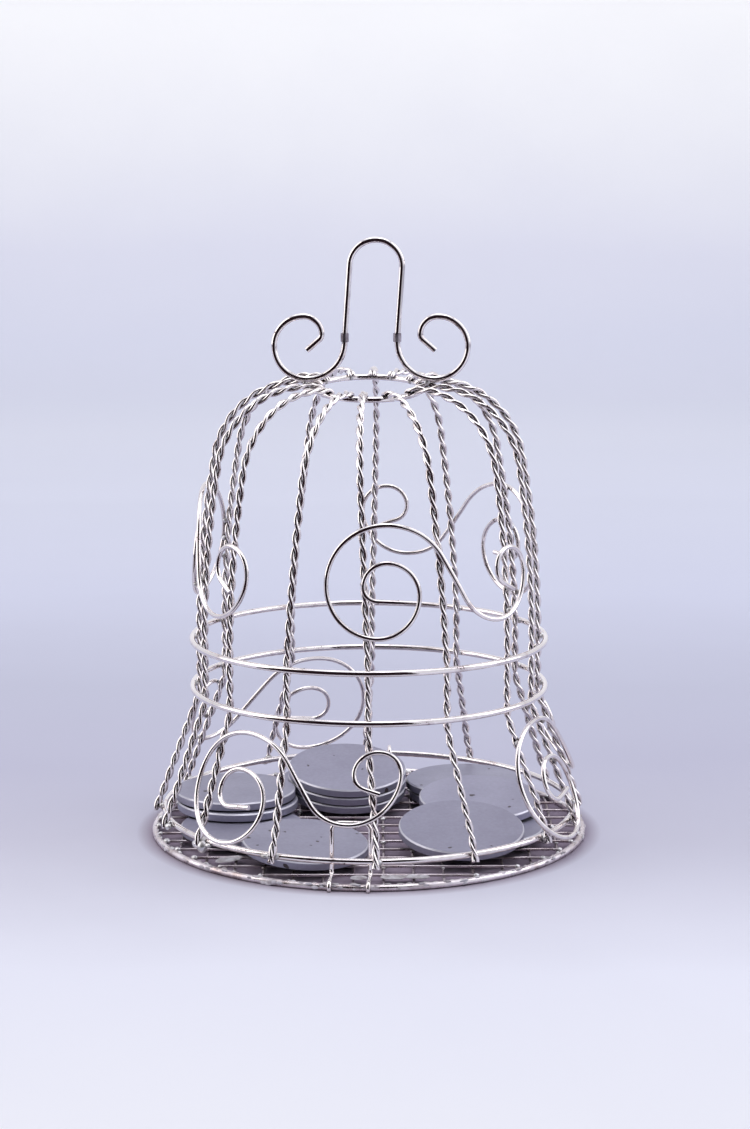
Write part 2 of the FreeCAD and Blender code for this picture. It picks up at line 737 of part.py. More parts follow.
def build_coin(label):
    body = node(add("PartDesign::Body", label), label)
    section = sketch_on(body, "XZ_Plane", f"{label}_section")
    edge = "Dimensions.coin_diameter / 2"
    inner = "Dimensions.coin_diameter / 2 - Dimensions.coin_bevel"
    top = "Dimensions.coin_thickness"
    high = "Dimensions.coin_thickness - Dimensions.coin_bevel"
    low = "Dimensions.coin_bevel"
    corners = [(None, None), (inner, None), (edge, low), (edge, high), (inner, top), (None, top)]
    points = [
        Vector(*(float(section.evalExpression(text)) if text else 0.0 for text in corner), 0)
        for corner in corners
    ]
    lines = [
        section.addGeometry(Part.LineSegment(points[k - 1], points[k])) for k in range(len(points))
    ]
    for k, (across, up) in enumerate(corners):
        follower = lines[(k + 1) % len(lines)]
        section.addConstraint(Sketcher.Constraint("Coincident", lines[k], END, follower, START))
        for text, kind, axis in ((across, "DistanceX", UP_AXIS), (up, "DistanceY", ACROSS_AXIS)):
            if text is None:
                section.addConstraint(Sketcher.Constraint("PointOnObject", lines[k], END, axis))
            else:
                drive(section, f"corner_{k}_{kind}", kind, (*ROOT, lines[k], END), text)
    disc = body.newObject("PartDesign::Revolution", f"{label}_disc")
    disc.Profile = section
    disc.ReferenceAxis = (section, ["V_Axis"])
    disc.Angle = 4 * QUARTER
    return body


def coin_place(name):
    place = Vector(size(f"{name}_across"), size(f"{name}_back"), 0)
    limit = size("coin_limit")
    return place if place.Length <= limit else place * (limit / place.Length)


def beside(place, azimuth):
    angle = math.radians(size(azimuth))
    return place + Vector(math.sin(angle), -math.cos(angle), 0) * size("coin_pitch")


def lay(label, placement):
    build_coin(label).Placement = placement


def flat(place, coins_below):
    height = size("coin_floor") + size("coin_layer") * coins_below
    return Placement(place + Vector(0, 0, height), Rotation())


def direction(start, end):
    return (end - start).normalize()


# A leaning coin bears on the edge of a pile behind it, and in front on its own low edge
# or on the edge of a lower pile


def leaning(place, uphill, back, back_coins, front=None, front_coins=0):
    radius = size("coin_diameter") / 2
    floor, layer = size("coin_floor"), size("coin_layer")
    back_run = (back - place).dot(uphill)
    front_run = 0.0 if front is None else (front - place).dot(uphill)
    front_height = floor + layer * front_coins
    slope = math.atan2(layer * (back_coins - front_coins), back_run - front_run)
    low_edge = place - uphill * radius
    low_height = front_height - front_run * math.tan(slope)
    axis = Vector(0, 0, 1).cross(uphill)
    tilt = Rotation(axis, -math.degrees(slope))
    return Placement(low_edge + Vector(0, 0, low_height) + tilt.multVec(uphill * radius), tilt)


def on_top(below):
    return Placement(below.Base + below.Rotation.multVec(Vector(0, 0, size("coin_layer"))), below.Rotation)


def build_coins():
    left_low, left_middle, left_top = (coin_place(f"left_{level}") for level in ("low", "middle", "top"))
    right_low, right_middle = (coin_place(f"right_{level}") for level in ("low", "middle"))
    back_low, back_high, back_left = (coin_place(f"back_{spot}") for spot in ("low", "high", "left"))
    left_leaning, right_leaning = (coin_place(f"{side}_leaning") for side in ("left", "right"))
    middle = beside(left_middle, "middle_coin_azimuth")
    middle_lean = leaning(middle, direction(middle, back_left), back_left, 1)
    right_uphill = direction(right_middle, back_high)
    lay("coin_01", flat(left_low, 0))
    lay("coin_02", flat(left_middle, 1))
    lay("coin_03", flat(left_top, 2))
    lay("coin_04", flat(right_low, 0))
    lay("coin_05", leaning(right_middle, right_uphill, back_high, 2, front_coins=1))
    lay("coin_06", flat(back_low, 0))
    lay("coin_07", flat(back_left, 0))
    lay("coin_08", middle_lean)
    lay("coin_09", on_top(middle_lean))
    lay("coin_10", leaning(left_leaning, direction(left_leaning, left_low), left_low, 1))
    lay("coin_11", leaning(right_leaning, right_uphill, right_middle, 2, right_low, 1))
    lay("coin_12", flat(back_high, 1))
    lay("coin_13", on_top(on_top(middle_lean)))


def build_all():
    build_base_ring()
    build_mesh("mesh_wires_lengthwise", "x", "y", Rotation(Vector(1, 0, 0), -QUARTER), "mesh_low")
    build_mesh("mesh_wires_crosswise", "y", "x", Rotation(Vector(0, 1, 0), QUARTER), "mesh_high")
    build_hinge_eyes()
    build_latch_clip()
    build_ring("rim_ring", "rim_radius", "rim_height")
    build_ring("lower_band", "band_radius", "lower_band_height")
    build_ring("upper_band", "band_radius", "upper_band_height")
    build_top_ring()
    for name, *_ in RIBS:
        build_rib(name)
    wall = rib_track(QUARTER)
    for name, *_ in SCROLLS:
        build_scroll(name, wall)
    build_hanger_loop()
    build_hanger_scrolls()
    build_hanger_collars()
    build_coins()


def check_all():
    for obj in doc.Objects:
        if "Invalid" in obj.State or "Error" in obj.State:
            raise RuntimeError(f"{obj.Label} did not recompute: {obj.State}")
    for obj in nodes:
        if obj.Shape.isNull() or not obj.Shape.isValid() or not obj.Shape.Solids:
            raise RuntimeError(f"{obj.Label} has no valid solid")


build_all()
doc.recompute()
check_all()
os.makedirs("parts", exist_ok=True)
for obj in nodes:
    obj.Shape.exportStep(os.path.join("parts", f"{obj.Label}.step"))
print(f"{len(nodes)} sub-parts written")
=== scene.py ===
import json
import math

import bmesh
import bpy
import numpy as np
from mathutils import Euler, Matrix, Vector, kdtree


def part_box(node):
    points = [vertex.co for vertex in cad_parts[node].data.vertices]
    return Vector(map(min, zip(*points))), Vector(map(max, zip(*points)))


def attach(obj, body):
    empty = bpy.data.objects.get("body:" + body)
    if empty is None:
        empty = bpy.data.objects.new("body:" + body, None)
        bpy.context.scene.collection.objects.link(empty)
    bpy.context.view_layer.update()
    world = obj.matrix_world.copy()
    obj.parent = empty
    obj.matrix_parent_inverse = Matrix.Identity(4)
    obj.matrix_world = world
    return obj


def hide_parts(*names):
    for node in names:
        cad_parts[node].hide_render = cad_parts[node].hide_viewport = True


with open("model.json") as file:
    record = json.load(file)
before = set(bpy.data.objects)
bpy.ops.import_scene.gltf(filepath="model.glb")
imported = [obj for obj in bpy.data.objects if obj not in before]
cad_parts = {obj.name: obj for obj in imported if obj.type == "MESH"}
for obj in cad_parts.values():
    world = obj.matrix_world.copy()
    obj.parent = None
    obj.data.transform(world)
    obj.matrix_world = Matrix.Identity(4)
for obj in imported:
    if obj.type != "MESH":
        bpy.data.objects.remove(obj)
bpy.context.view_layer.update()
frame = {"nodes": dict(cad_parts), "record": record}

nodes = frame["nodes"]
mm = 0.001
print("frame loaded:", len(nodes), "nodes")


# short hands for objects and meshes

def show(name, data):
    piece = bpy.data.objects.new(name, data)
    bpy.context.scene.collection.objects.link(piece)
    return piece


def pointsOf(mesh):
    found = np.empty(len(mesh.vertices) * 3)
    mesh.vertices.foreach_get("co", found)
    return found.reshape(-1, 3)


def smoothFaces(mesh):
    mesh.polygons.foreach_set("use_smooth", [True] * len(mesh.polygons))


# camera at the photograph's viewing angle

cameraView = {
    "place": (1.12 * mm, -450 * mm, 128.5 * mm),
    "pitchDown": 9.95,  # degrees
    "lens": 79.9,  # mm on the long side of the frame
    "filmSide": 36.0,
    "nearest": 10 * mm,
}


def placeCamera(view):
    data = bpy.data.cameras.new("camera")
    data.lens = view["lens"]
    data.sensor_width = view["filmSide"]
    data.clip_start = view["nearest"]
    camera = show("camera", data)
    camera.location = view["place"]
    camera.rotation_euler = Euler((math.radians(90 - view["pitchDown"]), 0, 0))
    bpy.context.scene.camera = camera


placeCamera(cameraView)
print("camera placed")


# short hands for shader trees

noiseSpan = (0.3, 0.7)  # where most of a noise lies


def startMaterial(name):
    material = bpy.data.materials.new(name)
    material.use_nodes = True
    tree = material.node_tree
    shader = next(n for n in tree.nodes if n.type == "BSDF_PRINCIPLED")
    place = tree.nodes.new("ShaderNodeTexCoord").outputs["Object"]
    return material, tree, shader, place


def feed(tree, source, socket):
    if isinstance(source, bpy.types.NodeSocket):
        tree.links.new(source, socket)
    else:
        socket.default_value = source


def fill(tree, shader, inputs):
    for name, source in inputs.items():
        feed(tree, source, shader.inputs[name])


def noise(tree, place, scale, detail=3.0, rough=0.55):
    node = tree.nodes.new("ShaderNodeTexNoise")
    tree.links.new(place, node.inputs["Vector"])
    node.inputs["Scale"].default_value = scale
    node.inputs["Detail"].default_value = detail
    node.inputs["Roughness"].default_value = rough
    return node.outputs[0]


def cells(tree, place, scale):
    node = tree.nodes.new("ShaderNodeTexVoronoi")
    tree.links.new(place, node.inputs["Vector"])
    node.inputs["Scale"].default_value = scale
    return node.outputs["Distance"]


def stretched(tree, place, scale, turn):
    node = tree.nodes.new("ShaderNodeMapping")
    tree.links.new(place, node.inputs["Vector"])
    node.inputs["Rotation"].default_value = (0, 0, math.radians(turn))
    node.inputs["Scale"].default_value = scale
    return node.outputs["Vector"]


def between(tree, value, low, high, start=0.0, end=1.0):
    node = tree.nodes.new("ShaderNodeMapRange")
    tree.links.new(value, node.inputs["Value"])
    for name, number in zip(("From Min", "From Max", "To Min", "To Max"), (low, high, start, end)):
        node.inputs[name].default_value = number
    return node.outputs["Result"]


def calc(tree, how, first, second):
    node = tree.nodes.new("ShaderNodeMath")
    node.operation = how
    feed(tree, first, node.inputs[0])
    feed(tree, second, node.inputs[1])
    return node.outputs[0]


def splitVector(tree, vector):
    node = tree.nodes.new("ShaderNodeSeparateXYZ")
    tree.links.new(vector, node.inputs[0])
    return node.outputs


def blendColour(tree, share, first, second):
    node = tree.nodes.new("ShaderNodeMix")
    node.data_type = "RGBA"
    tree.links.new(share, node.inputs[0])
    for colour, socket in ((first, node.inputs[6]), (second, node.inputs[7])):
        feed(tree, colour if isinstance(colour, bpy.types.NodeSocket) else (*colour, 1), socket)
    return node.outputs[2]


# painted shade: a share that is full where occlusion is deep, used to darken a colour there
def occlusionShade(tree, reach, deep, shallow, samples=4):
    node = tree.nodes.new("ShaderNodeAmbientOcclusion")
    node.samples = samples
    node.inputs["Distance"].default_value = reach
    return between(tree, node.outputs["AO"], deep, shallow, 1.0, 0.0)


def relief(tree, height, depth, strength):
    node = tree.nodes.new("ShaderNodeBump")
    node.inputs["Strength"].default_value = strength
    node.inputs["Distance"].default_value = depth
    tree.links.new(height, node.inputs["Height"])
    return node.outputs["Normal"]


def seenRays(tree):
    rays = tree.nodes.new("ShaderNodeLightPath").outputs
    seen = calc(tree, "MAXIMUM", rays["Is Camera Ray"], rays["Is Glossy Ray"])
    return calc(tree, "MAXIMUM", seen, rays["Is Transmission Ray"])


# bright drawn wire of the bell: polished, with faint brown tarnish, fine pits and painted shade in its
# grooves

brightWireLook = {
    "silver": (0.90, 0.845, 0.83),
    "tarnish": (0.50, 0.41, 0.42),
    "tarnishScale": 330,
    "tarnishRange": (0.52, 0.74),
    "tarnishMost": 0.65,
    "pit": (0.12, 0.075, 0.065),
    "pitScale": 2300,
    "pitZone": (0.40, 0.65),  # pits come where tarnish does
    "pitRange": (0.56, 0.66),
    "grooveShade": (0.014, 0.009, 0.010),  # painted shade in the grooves between strands and at the joints
    "grooveReach": 0.5 * mm,
    "grooveRange": (0.42, 0.80),
    "smooth": 0.05,
    "dull": 0.17,
    "dullRange": (0.35, 0.75),
    "scratchDepth": 0.012 * mm,
    "scratchStrength": 0.35,
}


def makeBrightWire(look):
    material, tree, shader, place = startMaterial("bright_drawn_wire")
    patches = noise(tree, place, look["tarnishScale"], detail=4)
    tarnish = between(tree, patches, *look["tarnishRange"], 0.0, look["tarnishMost"])
    grain = noise(tree, place, look["pitScale"], detail=2)
    pitted = calc(tree, "MULTIPLY", grain, between(tree, patches, *look["pitZone"]))
    colour = blendColour(tree, tarnish, look["silver"], look["tarnish"])
    colour = blendColour(tree, between(tree, pitted, *look["pitRange"]), colour, look["pit"])
    # painted shade in the grooves between strands and at the joints, where occlusion is deep
    grooves = occlusionShade(tree, look["grooveReach"], *look["grooveRange"])
    fill(tree, shader, {
        "Base Color": blendColour(tree, grooves, colour, look["grooveShade"]),
        "Metallic": 1.0,
        "Roughness": between(tree, patches, *look["dullRange"], look["smooth"], look["dull"]),
        "Normal": relief(tree, grain, look["scratchDepth"], look["scratchStrength"]),
    })
    return material


# dull wire of the base ring and, darker, of the mesh: metal under a broken crust of flux

dullWireLook = {
    "name": "dull_tarnished_wire",
    "metal": (0.86, 0.79, 0.81),
    "stain": (0.36, 0.27, 0.255),
    "crust": (0.78, 0.73, 0.78),
    "bare": 0.95,  # how metallic it is where no crust lies
    "gloss": (0.22, 0.50),
    "stainScale": 210,
    "crustScale": 480,
    "crustDepth": 0.04 * mm,
}
meshWireLook = {
    "name": "dull_mesh_wire",
    "metal": (0.60, 0.535, 0.565),
    "stain": (0.27, 0.20, 0.20),
    "crust": (0.64, 0.59, 0.63),
    "bare": 1.0,
    "gloss": (0.24, 0.50),
    "stainScale": 260,
    "crustScale": 520,
    "crustDepth": 0.03 * mm,
}
dullWireWear = {  # the same on both
    "stainRange": (0.42, 0.74),
    "crustRange": (0.52, 0.72),
    "crusted": 0.3,  # how metallic it is under the crust
    "crustStrength": 0.6,
    "glossRange": (0.40, 0.66),
    # painted shade in the grooves and where the wires meet
    "grooveShade": (0.03, 0.022, 0.020),
    "grooveReach": 0.4 * mm,
    "grooveRange": (0.15, 0.55),
}


def makeDullWire(look, wear):
    material, tree, shader, place = startMaterial(look["name"])
    stain = between(tree, noise(tree, place, look["stainScale"], detail=5), *wear["stainRange"])
    crustField = noise(tree, place, look["crustScale"], detail=5, rough=0.62)
    crust = between(tree, crustField, *wear["crustRange"])
    colour = blendColour(tree, stain, look["metal"], look["stain"])
    colour = blendColour(tree, crust, colour, look["crust"])
    # painted shade where the wire lies in a groove or against another wire, by occlusion
    grooves = occlusionShade(tree, wear["grooveReach"], *wear["grooveRange"])
    fill(tree, shader, {
        "Base Color": blendColour(tree, grooves, colour, wear["grooveShade"]),
        "Metallic": between(tree, crust, 0.0, 1.0, look["bare"], wear["crusted"]),
        "Roughness": between(tree, crustField, *wear["glossRange"], *look["gloss"]),
        "Normal": relief(tree, crustField, look["crustDepth"], wear["crustStrength"]),
    })
    return material


# coins: satin bluish silver with hairline scratches and a few dark specks, a painted highlight on the
# upward-facing rounded edges, and painted shade in the gaps where one lies on another and on their
# downward-facing edges

coinLook = {
    "face": (0.375, 0.366, 0.472),
    "tones": {"coin_05": 1.13, "coin_13": 1.05},  # painted light: lighter copies of the material for these coins; the others are plain
    "metallic": 0.5,
    "satin": 0.40,
    "hazy": 0.50,
    "cloud": (0.31, 0.30, 0.39),
    "cloudScale": 120,
    "cloudMost": 0.45,
    "mottleScale": 1500,
    "mottleMost": 0.55,
    "speck": (0.06, 0.045, 0.05),
    "speckMetallic": 0.1,
    "speckScale": 330,
    "speckZone": (0.46, 0.70),
    "speckSize": 0.27,  # at most, as a share of its cell
    "speckRagged": 0.07,
    "speckEdge": 0.05,
    "scratchRun": (60, 2600, 900),
    "scratchTurns": (35, -50),  # degrees
    "scratchRange": (0.70, 0.78),
    "scratchMost": 0.35,
    # painted highlight on the upward-facing rounded edge
    "edge": (0.64, 0.63, 0.70),
    "edgeStarts": (0.45, 0.60),  # by how far up the rounded edge faces
    "edgeEnds": (0.90, 0.82),
    "edgePolish": 0.12,
    # painted shade in the narrow gaps between coins and on their undersides
    "gap": (0.012, 0.010, 0.012),
    "gapReach": 1.2 * mm,
    "gapRange": (0.30, 0.75),
    # painted shade on the downward-facing edge
    "underside": (-0.40, -0.55),
    "grainScale": 3200,
    "grainDepth": 0.008 * mm,
    "grainStrength": 0.5,
}


def coinSpecks(tree, place, look):
    speckCells = cells(tree, place, look["speckScale"])
    speckField = noise(tree, place, look["speckScale"] * 3)
    zones = noise(tree, place, look["cloudScale"] * 2)
    size = between(tree, zones, *look["speckZone"], 0.0, look["speckSize"])
    ragged = between(tree, speckField, *noiseSpan, -look["speckRagged"], look["speckRagged"])
    roughCells = calc(tree, "ADD", speckCells, ragged)
    return between(tree, calc(tree, "SUBTRACT", size, roughCells), 0.0, look["speckEdge"])


def coinScratches(tree, place, look):
    lines = [
        noise(tree, stretched(tree, place, look["scratchRun"], turn), 1.0, detail=2)
        for turn in look["scratchTurns"]
    ]
    return between(tree, calc(tree, "MAXIMUM", *lines), *look["scratchRange"], 0.0, look["scratchMost"])


def makeCoin(look, paintedLight=1.0):
    material, tree, shader, place = startMaterial("satin_coin_silver")
    face, cloud = (tuple(paintedLight * part for part in look[name]) for name in ("face", "cloud"))
    clouds = noise(tree, place, look["cloudScale"], detail=4)
    cloudy = between(tree, clouds, *noiseSpan, 0.0, look["cloudMost"])
    mottled = between(tree, noise(tree, place, look["mottleScale"]), *noiseSpan, 0.0, look["mottleMost"])
    specks = coinSpecks(tree, place, look)
    colour = blendColour(tree, calc(tree, "ADD", cloudy, mottled), face, cloud)
    colour = blendColour(tree, coinScratches(tree, place, look), colour, cloud)
    colour = blendColour(tree, specks, colour, look["speck"])
    up = splitVector(tree, place.node.outputs["Normal"])["Z"]
    # painted highlight: the rounded edge is lighter where it faces up
    edgeSides = (between(tree, up, *look[name]) for name in ("edgeStarts", "edgeEnds"))
    edgeHighlight = calc(tree, "MULTIPLY", *edgeSides)
    colour = blendColour(tree, edgeHighlight, colour, look["edge"])
    # painted shade: dark in narrow gaps, by occlusion, and where the edge faces down
    narrow = occlusionShade(tree, look["gapReach"], *look["gapRange"])
    gap = calc(tree, "MAXIMUM", between(tree, up, *look["underside"]), narrow)
    satin = between(tree, clouds, *noiseSpan, look["satin"], look["hazy"])
    polish = between(tree, edgeHighlight, 0.0, 1.0, 0.0, look["edgePolish"])
    grain = calc(tree, "SUBTRACT", noise(tree, place, look["grainScale"], detail=2), specks)
    fill(tree, shader, {
        "Base Color": blendColour(tree, gap, colour, look["gap"]),
        "Metallic": between(tree, specks, 0.0, 1.0, look["metallic"], look["speckMetallic"]),
        "Roughness": calc(tree, "SUBTRACT", satin, polish),
        "Normal": relief(tree, grain, look["grainDepth"], look["grainStrength"]),
    })
    return material


# solder: pale and lumpy at the joints, dark on the hanger

paleSolderLook = {
    "name": "pale_solder",
    "clean": (0.74, 0.73, 0.74),
    "burnt": (0.36, 0.33, 0.32),
    "lumpScale": 900,
    "burntScale": 540,
}
darkSolderLook = {
    "name": "dark_solder",
    "clean": (0.47, 0.43, 0.475),
    "burnt": (0.24, 0.205, 0.23),
    "lumpScale": 700,
    "burntScale": 420,
}
solderWear = {  # the same on both
    "metallic": 0.95,
    "burntRange": (0.48, 0.68),
    "lumpRange": (0.35, 0.70),
    "lumpDepth": 0.05 * mm,
    "lumpStrength": 0.5,
    "gloss": (0.28, 0.55),
}


def makeSolder(look, wear):
    material, tree, shader, place = startMaterial(look["name"])
    lumps = noise(tree, place, look["lumpScale"], detail=4)
    burnt = between(tree, noise(tree, place, look["burntScale"]), *wear["burntRange"])
    fill(tree, shader, {
        "Base Color": blendColour(tree, burnt, look["clean"], look["burnt"]),
        "Metallic": wear["metallic"],
        "Roughness": between(tree, lumps, *wear["lumpRange"], *wear["gloss"]),
        "Normal": relief(tree, lumps, wear["lumpDepth"], wear["lumpStrength"]),
    })
    return material


# flux: the whitish crust that soldering leaves on the base

fluxLook = {
    "chalk": (0.70, 0.68, 0.715),
    "grey": (0.44, 0.40, 0.42),
    "greyScale": 650,
    "greyRange": (0.42, 0.62),
    "metallic": 0.15,
    "crumbScale": 1950,
    "crumbRange": (0.35, 0.70),
    "crumbDepth": 0.10 * mm,
    "crumbStrength": 0.7,
    "gloss": (0.45, 0.85),
}


def makeFlux(look):
    material, tree, shader, place = startMaterial("chalky_flux")
    crumbs = noise(tree, place, look["crumbScale"], detail=4, rough=0.65)
    grey = between(tree, noise(tree, place, look["greyScale"], detail=4), *look["greyRange"])
    fill(tree, shader, {
        "Base Color": blendColour(tree, grey, look["chalk"], look["grey"]),
        "Metallic": look["metallic"],
        "Roughness": between(tree, crumbs, *look["crumbRange"], *look["gloss"]),
        "Normal": relief(tree, crumbs, look["crumbDepth"], look["crumbStrength"]),
    })
    return material


finishes = {
    "bright_wire": makeBrightWire(brightWireLook),
    "dull_wire": makeDullWire(dullWireLook, dullWireWear),
    "coin": makeCoin(coinLook),
    "solder": makeSolder(darkSolderLook, solderWear),
}
meshFinish = makeDullWire(meshWireLook, dullWireWear)
# lighter copies of the coin material for single coins, painted light
ownFinish = {name: makeCoin(coinLook, paintedLight) for name, paintedLight in coinLook["tones"].items()}
ownFinish.update({name: meshFinish for name in ("mesh_wires_lengthwise", "mesh_wires_crosswise")})
paleSolder = makeSolder(paleSolderLook, solderWear)
flux = makeFlux(fluxLook)
print("finishes made")


# the carried-over pieces: each takes its slot's finish and smooth shading over the round wire

smoothing = {"weld": 0.0005 * mm, "creaseAngle": 35}


def dressNode(piece, material):
    piece.data.materials.clear()
    piece.data.materials.append(material)
    smoothFaces(piece.data)
    weld = piece.modifiers.new("weld", "WELD")
    weld.merge_threshold = smoothing["weld"]
    crease = piece.modifiers.new("crease", "EDGE_SPLIT")
    crease.split_angle = math.radians(smoothing["creaseAngle"])


for part in frame["record"]["subparts"]:
    dressNode(nodes[part["node"]], ownFinish.get(part["node"], finishes[part["material_slot"]]))
print("wires and coins finished")


# the ribs' strands, wound as in the photograph: each keeps its node's own line and is turned the other way

ribStrands = {
    "hub": (8 * mm, 35 * mm),  # reach and height that every rib climbs round
    "slices": 150,
    "even": 3,  # slices to each side that the middle line is evened over
}


def middleLine(climb, aside, look):
    edges = np.linspace(climb.min(), climb.max(), look["slices"] + 1)
    sliceOf = np.clip(np.searchsorted(edges, climb) - 1, 0, look["slices"] - 1)
    count = np.bincount(sliceOf, minlength=look["slices"])
    total = np.bincount(sliceOf, weights=aside, minlength=look["slices"])
    window = np.ones(2 * look["even"] + 1)
    means = np.convolve(total, window, "same") / np.maximum(np.convolve(count, window, "same"), 1)
    return np.interp(climb, (edges[1:] + edges[:-1]) / 2, means)


def turnedPoints(points, look):
    x, y, z = points.T
    reach = np.hypot(x, y)
    heading = math.atan2(x.mean(), -y.mean())
    aside = (np.arctan2(x, -y) - heading + math.pi) % (2 * math.pi) - math.pi
    climb = np.arctan2(z - look["hub"][1], reach - look["hub"][0])
    around = heading + 2 * middleLine(climb, aside, look) - aside
    return np.c_[reach * np.sin(around), -reach * np.cos(around), z]


def turnStrands(rib, look):
    mesh = nodes[rib].data.copy()
    mesh.name = rib + "_strands"
    mesh.vertices.foreach_set("co", turnedPoints(pointsOf(mesh), look).ravel())
    joined = bmesh.new()
    joined.from_mesh(mesh)
    bmesh.ops.remove_doubles(joined, verts=joined.verts, dist=smoothing["weld"])
    bmesh.ops.reverse_faces(joined, faces=joined.faces)  # the turn left them inside out
    joined.to_mesh(mesh)
    joined.free()
    smoothFaces(mesh)
    mesh.set_sharp_from_angle(angle=math.radians(smoothing["creaseAngle"]))
    mesh.materials.clear()
    mesh.materials.append(finishes["bright_wire"])
    strands = show(mesh.name, mesh)
    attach(strands, "bell")
    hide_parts(rib)


ribNames = sorted(name for name in nodes if name.startswith("rib_"))
for rib in ribNames:
    turnStrands(rib, ribStrands)
print("ribs twisted:", len(ribNames))


# solder beads: where each one sits is read from the wires themselves

ringNames = ("rim_ring", "lower_band", "upper_band", "top_ring")
scrollNames = sorted(name for name in nodes if "_scroll_" in name)
corners = {name: np.unique(pointsOf(node.data), axis=0) for name, node in nodes.items()}
ringReach = 0.6 * mm  # how far above and below a ring its ribs are felt for


def ringPlane(name):
    points = corners[name]
    level = np.c_[points[:, :2], np.ones(len(points))]
    slope = np.linalg.lstsq(level, points[:, 2], rcond=None)[0]
    return slope, np.hypot(points[:, 0], points[:, 1]).mean()


def crossings(ring, rib):
    slope, radius = ringPlane(ring)
    points = corners[rib]
    above = points[:, 2] - points[:, :2] @ slope[:2] - slope[2]
    outside = np.hypot(points[:, 0], points[:, 1]) - radius
    spot = points[(np.abs(above) < ringReach) & (np.abs(outside) < 2 * ringReach)].mean(0)
    around = math.atan2(spot[0], -spot[1])
    reach = (math.hypot(spot[0], spot[1]) + radius) / 2
    x, y = reach * math.sin(around), -reach * math.cos(around)
    return (x, y, slope[0] * x + slope[1] * y + slope[2]), around


def touches(first, second, near, apart):
    low, high = corners[second].min(0) - near, corners[second].max(0) + near
    close = corners[first][((corners[first] > low) & (corners[first] < high)).all(1)]
    if not len(close):
        return []
    low, high = close.min(0) - near, close.max(0) + near
    facing = corners[second][((corners[second] > low) & (corners[second] < high)).all(1)]
    tree = kdtree.KDTree(len(facing))
    for k, point in enumerate(facing):
        tree.insert(point, k)
    tree.balance()
    found = []
    for point in close if len(facing) else ():
        other, _, distance = tree.find(point)
        spot = (Vector(point) + other) / 2
        if distance < near and all((spot - known).length > apart for known in found):
            found.append(spot)
    return found


# one node tree melts a lumpy bead of solder at every point that it is given

def socketId(tree, name):
    return next(item.identifier for item in tree.interface.items_tree if item.name == name)


def makeBeadTree():
    tree = bpy.data.node_groups.new("solder_beads", "GeometryNodeTree")
    face = tree.interface
    face.new_socket("Spots", in_out="INPUT", socket_type="NodeSocketGeometry")
    face.new_socket("Roundness", in_out="INPUT", socket_type="NodeSocketInt")
    face.new_socket("Spread", in_out="INPUT", socket_type="NodeSocketFloat")
    face.new_socket("Lump size", in_out="INPUT", socket_type="NodeSocketFloat")
    face.new_socket("Lump depth", in_out="INPUT", socket_type="NodeSocketFloat")
    face.new_socket("Seed", in_out="INPUT", socket_type="NodeSocketInt")
    face.new_socket("Finish", in_out="INPUT", socket_type="NodeSocketMaterial")
    face.new_socket("Beads", in_out="OUTPUT", socket_type="NodeSocketGeometry")

    def add(kind, **settings):
        node = tree.nodes.new(kind)
        for name, value in settings.items():
            setattr(node, name, value)
        return node

    def read(name):
        node = add("GeometryNodeInputNamedAttribute", data_type="FLOAT_VECTOR")
        node.inputs["Name"].default_value = name
        return node.outputs[0]

    join = tree.links.new
    given = add("NodeGroupInput").outputs
    drop = add("GeometryNodeMeshIcoSphere")
    drop.inputs["Radius"].default_value = 1.0
    join(given["Roundness"], drop.inputs["Subdivisions"])
    chance = add("FunctionNodeRandomValue", data_type="FLOAT")
    low = add("ShaderNodeMath", operation="SUBTRACT")
    low.inputs[0].default_value = 1.0
    join(given["Spread"], low.inputs[1])
    high = add("ShaderNodeMath", operation="ADD")
    high.inputs[0].default_value = 1.0
    join(given["Spread"], high.inputs[1])
    join(low.outputs[0], chance.inputs[2])
    join(high.outputs[0], chance.inputs[3])
    join(given["Seed"], chance.inputs["Seed"])
    size = add("ShaderNodeVectorMath", operation="SCALE")
    join(read("beadSize"), size.inputs[0])
    join(chance.outputs[1], size.inputs["Scale"])
    turn = add("FunctionNodeEulerToRotation")
    join(read("beadTurn"), turn.inputs[0])
    place = add("GeometryNodeInstanceOnPoints")
    join(given["Spots"], place.inputs["Points"])
    join(drop.outputs["Mesh"], place.inputs["Instance"])
    join(turn.outputs[0], place.inputs["Rotation"])
    join(size.outputs[0], place.inputs["Scale"])
    real = add("GeometryNodeRealizeInstances")
    join(place.outputs[0], real.inputs[0])
    lumps = add("ShaderNodeTexNoise")
    join(given["Lump size"], lumps.inputs["Scale"])
    lift = add("ShaderNodeMath", operation="SUBTRACT")
    join(lumps.outputs[0], lift.inputs[0])
    lift.inputs[1].default_value = 0.5
    deep = add("ShaderNodeMath", operation="MULTIPLY")
    join(lift.outputs[0], deep.inputs[0])
    join(given["Lump depth"], deep.inputs[1])
    push = add("ShaderNodeVectorMath", operation="SCALE")
    join(add("GeometryNodeInputNormal").outputs[0], push.inputs[0])
    join(deep.outputs[0], push.inputs["Scale"])
    melt = add("GeometryNodeSetPosition")
    join(real.outputs[0], melt.inputs["Geometry"])
    join(push.outputs[0], melt.inputs["Offset"])
    soft = add("GeometryNodeSetShadeSmooth")
    join(melt.outputs[0], soft.inputs["Geometry"])
    dress = add("GeometryNodeSetMaterial")
    join(soft.outputs[0], dress.inputs["Geometry"])
    join(given["Finish"], dress.inputs["Material"])
    join(dress.outputs[0], add("NodeGroupOutput").inputs["Beads"])
    return tree


beadTree = makeBeadTree()


